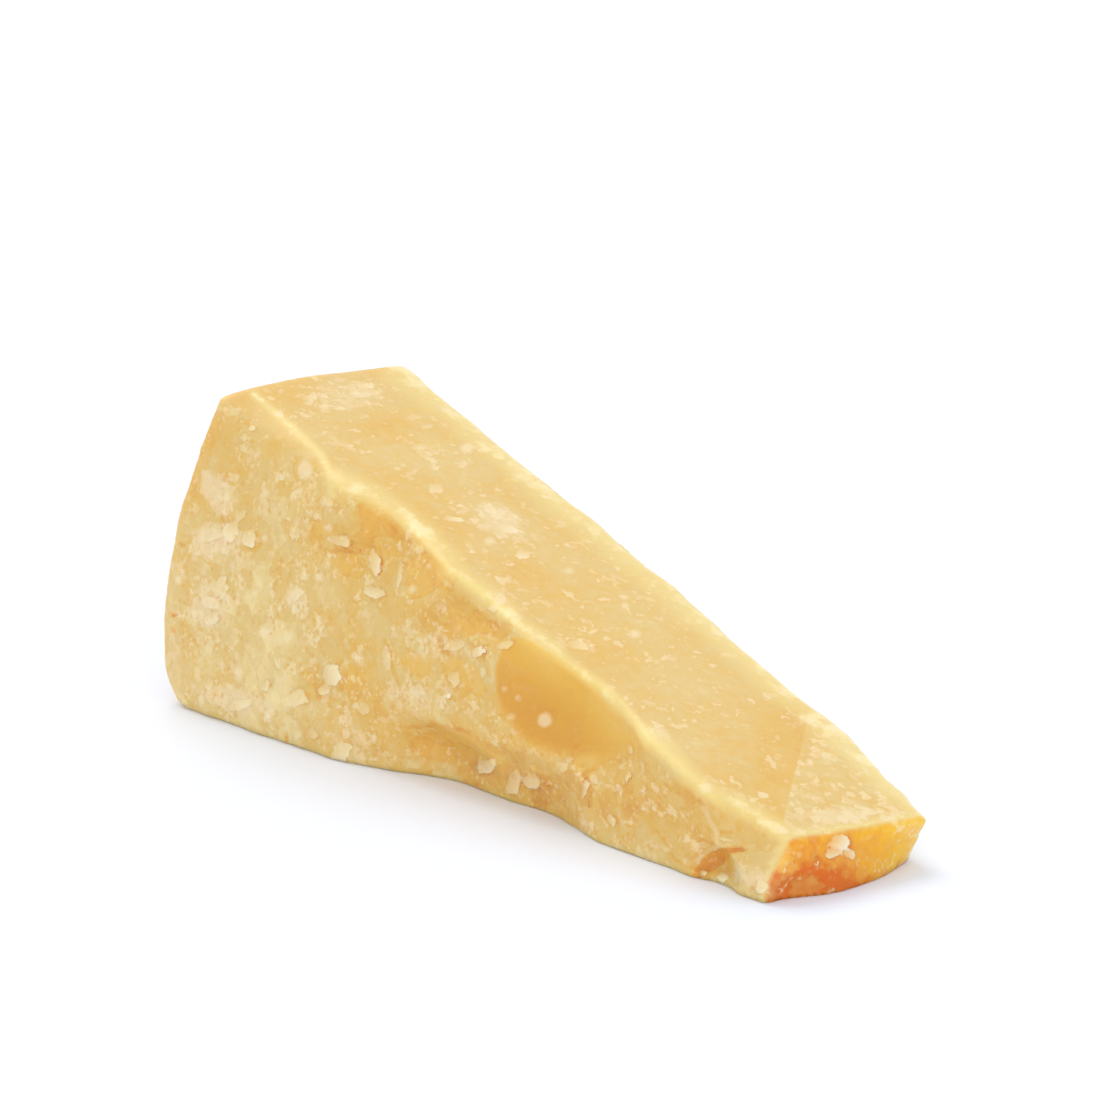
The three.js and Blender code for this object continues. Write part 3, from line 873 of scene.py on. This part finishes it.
def paste_material(sizes, fields):
    """Aged hard cheese, cut on two faces and broken on the others.

    A waxy paste that light enters for a few millimetres: it is matt, glows gold in hollows and turns pale where it is
    thin, scraped or crumbled. Part of that glow and paleness is painted into the colour: painted shade and glow in
    hollows, gaps and on the end, and painted highlights along crests and edges.
    """
    material = bpy.data.materials.new("aged_cheese_paste_cut_and_broken")
    material.use_nodes = True
    tree = material.node_tree
    tree.nodes.clear()

    def node(kind, links=None, **settings):
        return add_node(tree, kind, links, **settings)

    def add_up(terms, start):
        total = start
        for source, weight in terms:
            total = node("ShaderNodeMath", {0: source, 1: weight, 2: total}, operation="MULTIPLY_ADD").outputs[0]
        return total

    def times(first, second):
        return node("ShaderNodeMath", {0: first, 1: second}, operation="MULTIPLY").outputs[0]

    def ramp_up(value, low, high):
        """0 below low and 1 above high."""
        return node("ShaderNodeMapRange", {"Value": value, "From Min": low, "From Max": high}).outputs[0]

    place = node("ShaderNodeTexCoord").outputs["Object"]
    scaled = node("ShaderNodeVectorMath", {0: place, 3: 1 / MM}, operation="SCALE").outputs[0]
    field = {name: node("ShaderNodeAttribute", attribute_name=name).outputs["Fac"] for name in fields}

    # Patterns, each at its real size in mm.
    warp = node("ShaderNodeTexNoise", {"Vector": scaled, "Scale": 1 / 2.4, "Detail": 2.0}).outputs["Color"]
    shake = node("ShaderNodeVectorMath", {0: warp, 1: (-0.5,) * 3}, operation="ADD").outputs[0]
    warped, shaken = (
        node("ShaderNodeVectorMath", {0: shake, 1: (reach,) * 3, 2: scaled}, operation="MULTIPLY_ADD").outputs[0]
        for reach in (3.4, 1.2))
    noises = {"blot": node("ShaderNodeSeparateXYZ", {0: shake}).outputs[0]}
    for name, size, detail, roughness in (
            ("cloud", 17, 2, 0.55), ("patch", 6, 3, 0.6), ("mottle", 2.2, 3, 0.62), ("speck", 0.7, 1, 0.6)):
        noise = node("ShaderNodeTexNoise", {
            "Vector": scaled, "Scale": 1 / size, "Detail": float(detail), "Roughness": roughness})
        noises[name] = node("ShaderNodeMath", {0: noise.outputs["Fac"], 1: -0.5}, operation="ADD").outputs[0]
    lined = node("ShaderNodeMapping", {
        "Vector": scaled, "Rotation": (0, 0, math.radians(CAMERA_TURN)), "Scale": (3.0, 1.0, 1.0)},
        vector_type="TEXTURE").outputs[0]
    drag = node("ShaderNodeTexNoise", {"Vector": lined, "Scale": 0.55, "Detail": 3.0}).outputs["Fac"]
    drag = node("ShaderNodeMath", {0: drag, 1: -0.5}, operation="ADD").outputs[0]
    # Painted light: lighter past the facet's edge, with a painted shade band just before it.
    facet = times(ramp_up(field["past_facet"], -0.2, 0.2), field["cut"])
    shade_before_facet = times(ramp_up(field["past_facet"], -10.0, -0.4), ramp_up(field["past_facet"], 0.2, -0.2))
    shade_before_facet = times(shade_before_facet, field["cut"])
    cut_or_facet = add_up(((field["cut"], 0.5), (facet, 1.0)), 0.0)
    drag = node("ShaderNodeMath", {0: drag, 1: cut_or_facet}, operation="MULTIPLY").outputs[0]

    def cells(size, where):
        """A random shade for each cell of broken paste."""
        shade = node("ShaderNodeTexVoronoi", {"Vector": where, "Scale": 1 / size}).outputs["Color"]
        return node("ShaderNodeSeparateColor", {0: shade}).outputs[0]

    plate = node("ShaderNodeMath", {0: cells(4.0, warped), 1: -0.5}, operation="ADD").outputs[0]
    plate = times(plate, field["rough"])

    # Small pale chips lie in clusters: more where the patch noise is high, and few in the shell.
    likely = add_up((
        (noises["patch"], 1.2), (noises["mottle"], 0.5), (field["rough"], 0.05), (field["haze"], 0.2),
        (facet, 0.2), (field["cut"], 0.07), (field["shell"], -0.6), (field["ridge"], -0.1),
        (field["end"], 0.05)), cells(1.5, shaken))
    chips = ramp_up(likely, 1.06, 1.09)
    grit = cells(0.8, scaled)
    gritty = times(ramp_up(noises["patch"], -0.10, 0.06), field["rough"])
    pale_grit = times(ramp_up(grit, 0.84, 0.90), gritty)
    gold_grit = times(ramp_up(grit, 0.17, 0.11), gritty)
    crumbs = ramp_up(add_up(((noises["patch"], 0.4), (field["shell"], -0.3)), noises["speck"]), 0.22, 0.29)

    # Ragged rims: noise shifts the distance into a mark before it is cut off.
    rim = add_up(((noises["mottle"], 2.2), (noises["speck"], 0.9)), 0.0)
    edges = {
        name: node("ShaderNodeMath", {0: rim, 1: raggedness, 2: field[name]}, operation="MULTIPLY_ADD").outputs[0]
        for name, raggedness in (("flake", 0.85), ("spot", 0.45), ("gap", 1.0))}
    flake = ramp_up(edges["flake"], -0.06, 0.10)
    spot = ramp_up(edges["spot"], -0.30, 0.65)
    # Dark lines, partly cracks and partly painted shadow along flake rims; the pale lines are painted highlights on
    # sharp edges.
    crack, edge_highlight_line = (
        ramp_up(add_up(((rim, 0.22),), field[name]), 0.75, 0.2) for name in ("crack", "edge_highlight_line"))
    gap = times(ramp_up(edges["gap"], -0.10, 0.12), field["gap_strength"])
    # Painted shade: the deepest gaps darken towards the deep tone and take the end's painted orange.
    deep_gap_shade = ramp_up(gap, 0.9, 1.6)
    # Painted shadow: a thin darker band just outside each flake, strongest beside its lifted side; the bump also sinks
    # it a little.
    under = node("ShaderNodeMath", {
        0: ramp_up(edges["flake"], -0.32, -0.06), 1: flake}, operation="SUBTRACT").outputs[0]
    broken = node("ShaderNodeMath", {0: field["cut"], 1: -0.85, 2: 1.0}, operation="MULTIPLY_ADD").outputs[0]
    under = times(times(under, field["lift"]), broken)
    flakes = times(flake, node("ShaderNodeMath", {0: field["lift"], 1: 1.0}, operation="MINIMUM").outputs[0])
    chalky = times(flake, ramp_up(field["lift"], 0.95, 1.7))

    # The shell's tone deepens away from the crest above it: painted shade down the smooth dish.
    shell_shade_tone = ramp_up(field["shell_depth"], 0.0, 1.0)
    shell_shade_tone = node("ShaderNodeMath", {0: shell_shade_tone, 1: 0.34, 2: 0.12}, operation="MULTIPLY_ADD").outputs[0]

    # The tone runs from cream at 0 through straw and gold to amber at 1. Several terms are painted light: crests and
    # proud grain paler as highlight; dips, deep gaps, the band beside flakes, dark lines, the foot, the lower shell
    # and the band before the last facet darker as painted shade; the facet lighter as painted light. Hollows are
    # warmer, partly as painted shade and glow.
    # Painted shade and glow in the hollows, with blotchy strength.
    warmth = node("ShaderNodeMath", {0: noises["blot"], 1: 2.4, 2: 1.0}, operation="MULTIPLY_ADD").outputs[0]
    warmth = times(warmth, field["warm_and_shaded"])
    tone = add_up((
        (field["crest"], -0.08), (field["dip"], 0.10), (field["cut"], 0.01), (field["grain"], -0.04),
        (field["shell"], shell_shade_tone), (field["milky"], -0.12), (facet, -0.05), (shade_before_facet, 0.12),
        (warmth, 0.20), (gap, 0.05), (deep_gap_shade, 0.20), (field["foot"], 0.16), (field["near_rind"], 0.26),
        (noises["cloud"], 0.5), (noises["patch"], 0.42), (noises["mottle"], 0.26), (noises["blot"], 0.2),
        (plate, -0.20), (drag, 0.3), (under, 0.28), (crack, 0.22)), 0.47)
    ramp = node("ShaderNodeValToRGB", {0: tone})
    stops = ramp.color_ramp.elements
    stops[0].position, stops[0].color = 0.04, sizes.cream
    stops[1].position, stops[1].color = 0.97, sizes.deep
    for position, colour in ((0.36, sizes.straw), (0.60, sizes.gold), (0.80, sizes.amber)):
        stops.new(position).color = colour
    colour = ramp.outputs[0]

    # The end and the notch are painted orange as light in the paste: darkest low on the end's left, in the notch and
    # along the floor as painted shade, and bright as painted glow where light shines through the end on the right.
    end_light_tone = add_up((
        (noises["patch"], 0.8), (noises["mottle"], 0.8), (plate, 0.3), (under, -0.3), (gap, -0.22)), field["glow"])
    end_light_ramp = node("ShaderNodeValToRGB", {0: end_light_tone})
    stops = end_light_ramp.color_ramp.elements
    stops[0].position, stops[0].color = 0.08, sizes.end_shade
    stops[1].position, stops[1].color = 0.92, sizes.honey
    stops.new(0.45).color = sizes.orange
    # Where the end's painted light is used: the end and the deepest gaps.
    orange = node("ShaderNodeMath", {0: field["end"], 1: ramp_up(gap, 0.9, 1.7)}, operation="MAXIMUM").outputs[0]

    bloom = ramp_up(add_up((
        (noises["patch"], 0.5), (field["haze"], 0.16), (field["warm_and_shaded"], -0.12), (field["shell"], -0.3),
        (plate, 0.15), (field["end"], -0.3), (facet, 0.06)), noises["blot"]), 0.09, 0.17)
    # Painted highlight: the band along the ridges, broken up by noise, and its paler core.
    ridge = add_up(((noises["mottle"], 0.8), (noises["patch"], 1.1)), field["ridge"])
    crest_highlight_core = ramp_up(add_up(((noises["patch"], 1.0), (noises["cloud"], 1.2)), ridge), 0.95, 1.35)
    ridge = ramp_up(ridge, 0.05, 1.0)
    haze = ramp_up(add_up((
        (noises["mottle"], 1.9), (noises["patch"], 1.1), (noises["speck"], 0.9)), field["haze"]), 0.42, 0.78)
    # Painted shade: amber deepening down the shell.
    shade_low_in_shell = times(field["shell"], ramp_up(field["shell_depth"], 0.0, 1.0))
    # Painted glow: gold in the shallow gaps, where light comes out of the paste.
    shallow = node("ShaderNodeMath", {0: deep_gap_shade, 1: -0.85, 2: 1.0}, operation="MULTIPLY_ADD").outputs[0]
    soft_gap = times(ramp_up(edges["gap"], -0.25, 0.5), field["gap_strength"])
    gap_glow = times(times(ramp_up(soft_gap, 0.0, 1.0), shallow), add_up((
        (noises["mottle"], 1.2), (noises["blot"], 1.0)), 0.9))
    dry = ramp_up(add_up((
        (noises["patch"], 0.8), (noises["mottle"], 0.7), (noises["cloud"], 0.8)), 0.0), -0.25, 0.3)
    rind_colour = node("ShaderNodeMix", {0: dry, 6: sizes.rind, 7: sizes.old_rind}, data_type="RGBA").outputs[2]
    # Small pits in the rind: sunk by the bump and painted darker as shade in them.
    shaded_pits = times(ramp_up(grit, 0.12, 0.05), field["rind"])
    # Layers of painted light among them: the end's orange, the honey over the shell and the gold in gaps are painted
    # glow; the amber low in the shell and the rind's pits are painted shade; the ridge colours are painted highlight.
    # The others are the paste's own bloom, haze, grit, chips, crumbs, flakes, spots and rind.
    layers = (
        (orange, 1.0, end_light_ramp.outputs[0]), (bloom, 0.4, sizes.bloom), (haze, 0.5, sizes.bloom),
        (gap_glow, 0.65, sizes.gap_glow_gold), (gold_grit, 0.5, sizes.amber), (pale_grit, 0.4, sizes.flake),
        (field["shell"], 0.35, sizes.honey), (shade_low_in_shell, 0.65, sizes.amber), (ridge, 0.65, sizes.ridge_highlight),
        (crest_highlight_core, 0.5, sizes.crest), (chips, 0.5, sizes.flake), (crumbs, 0.5, sizes.flake),
        (edge_highlight_line, 0.4, sizes.flake), (flakes, 0.8, sizes.flake), (chalky, 0.8, sizes.chalk),
        (spot, 0.62, sizes.ivory), (field["rind"], 0.92, rind_colour), (shaded_pits, 0.45, sizes.deep))
    for mask, strength, over in layers:
        mix = node("ShaderNodeMix", {0: times(mask, strength), 6: colour, 7: over}, data_type="RGBA")
        colour = mix.outputs[2]

    # Heights in mm.
    height = add_up((
        (noises["mottle"], 0.34), (noises["speck"], 0.12), (times(flakes, broken), 0.30), (under, -0.1), (shaded_pits, -0.3),
        (times(noises["patch"], field["rind"]), 0.9)), 0.0)
    cut_smoothness = node("ShaderNodeMath", {0: field["cut"], 1: -0.45, 2: 0.7}, operation="MULTIPLY_ADD").outputs[0]
    bump = node("ShaderNodeBump", {"Height": height, "Strength": cut_smoothness, "Distance": MM}).outputs[0]
    shine = add_up(((noises["mottle"], 0.4), (flakes, 0.15), (field["shell"], -0.06)), 0.42)
    surface = node("ShaderNodeBsdfPrincipled", {
        "Base Color": colour, "Normal": bump, "Roughness": shine, "IOR": 1.45, "Specular IOR Level": 0.4,
        "Subsurface Weight": 0.7, "Subsurface Radius": (1.0, 0.7, 0.35), "Subsurface Scale": 3.5 * MM})
    node("ShaderNodeOutputMaterial", {"Surface": surface.outputs[0]})
    return material


class SetStage(bpy.types.Operator):
    """Sets the white floor, the soft light and the camera"""

    bl_idname = "cheese.set_stage"
    bl_label = "Set the stage"

    def execute(self, context):
        scene = context.scene
        settings = scene.stage_settings
        deselect_all()
        bpy.ops.mesh.primitive_plane_add(size=settings.floor_side)
        floor = context.active_object
        floor.name = "floor"
        material = bpy.data.materials.new("matt_white_card")
        material.use_nodes = True
        surface = material.node_tree.nodes["Principled BSDF"]
        surface.inputs["Base Color"].default_value = settings.floor_colour
        surface.inputs["Roughness"].default_value = 0.9
        surface.inputs["Specular IOR Level"].default_value = 0.1
        floor.data.materials.append(material)

        world = bpy.data.worlds.new("white studio")
        world.use_nodes = True
        world.node_tree.nodes["Background"].inputs["Color"].default_value = SKY_COLOUR
        world.node_tree.nodes["Background"].inputs["Strength"].default_value = settings.sky_strength
        scene.world = world

        lights = (
            ("soft key light", KEY_FROM, settings.key_strength, 40, (1.0, 0.92, 0.82)),
            ("fill light", FILL_FROM, settings.fill_strength, 60, (1.0, 0.99, 0.97)),
            ("low light from behind", RIM_FROM, settings.rim_strength, 40, (1.0, 1.0, 1.0)),
        )
        for name, source, strength, spread, colour in lights:
            bpy.ops.object.light_add(type="SUN", rotation=Vector(source).to_track_quat("Z", "Y").to_euler())
            light = context.active_object
            light.name = name
            light.data.energy = strength
            light.data.color = colour
            light.data.angle = math.radians(spread)

        bpy.ops.object.camera_add(
            location=CAMERA_PLACE,
            rotation=(math.radians(90 - CAMERA_DIP), 0, math.radians(CAMERA_TURN)))
        camera = context.active_object
        camera.name = "camera"
        camera.data.sensor_width = SENSOR_WIDTH
        camera.data.lens = SENSOR_WIDTH * FOCAL_PIXELS / PICTURE_SIDE
        camera.data.clip_start = 0.01
        camera.data.clip_end = 50
        scene.camera = camera
        scene.view_settings.view_transform = "Standard"
        return {"FINISHED"}


class CheesePanel(bpy.types.Panel):
    """Lists the steps that make the wedge and its stage"""

    bl_idname = "VIEW3D_PT_cheese_wedge"
    bl_label = "Cheese wedge"
    bl_space_type = "VIEW_3D"
    bl_region_type = "UI"
    bl_category = "Cheese"

    def draw(self, context):
        for settings in (context.scene.wedge_settings, context.scene.stage_settings):
            for name in settings.bl_rna.properties.keys():
                if name not in ("rna_type", "name"):
                    self.layout.prop(settings, name)
        for step in (MakePaste, SetStage):
            self.layout.operator(step.bl_idname)


CLASSES = (WedgeSettings, StageSettings, MakePaste, SetStage, CheesePanel)


def register():
    for cls in CLASSES:
        bpy.utils.register_class(cls)
    bpy.types.Scene.wedge_settings = bpy.props.PointerProperty(type=WedgeSettings)
    bpy.types.Scene.stage_settings = bpy.props.PointerProperty(type=StageSettings)


def unregister():
    del bpy.types.Scene.stage_settings
    del bpy.types.Scene.wedge_settings
    for cls in reversed(CLASSES):
        bpy.utils.unregister_class(cls)


def main():
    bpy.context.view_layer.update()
    register()
    bpy.ops.cheese.make_paste()
    bpy.ops.cheese.set_stage()
    bpy.context.view_layer.update()


if __name__ == "__main__":
    main()
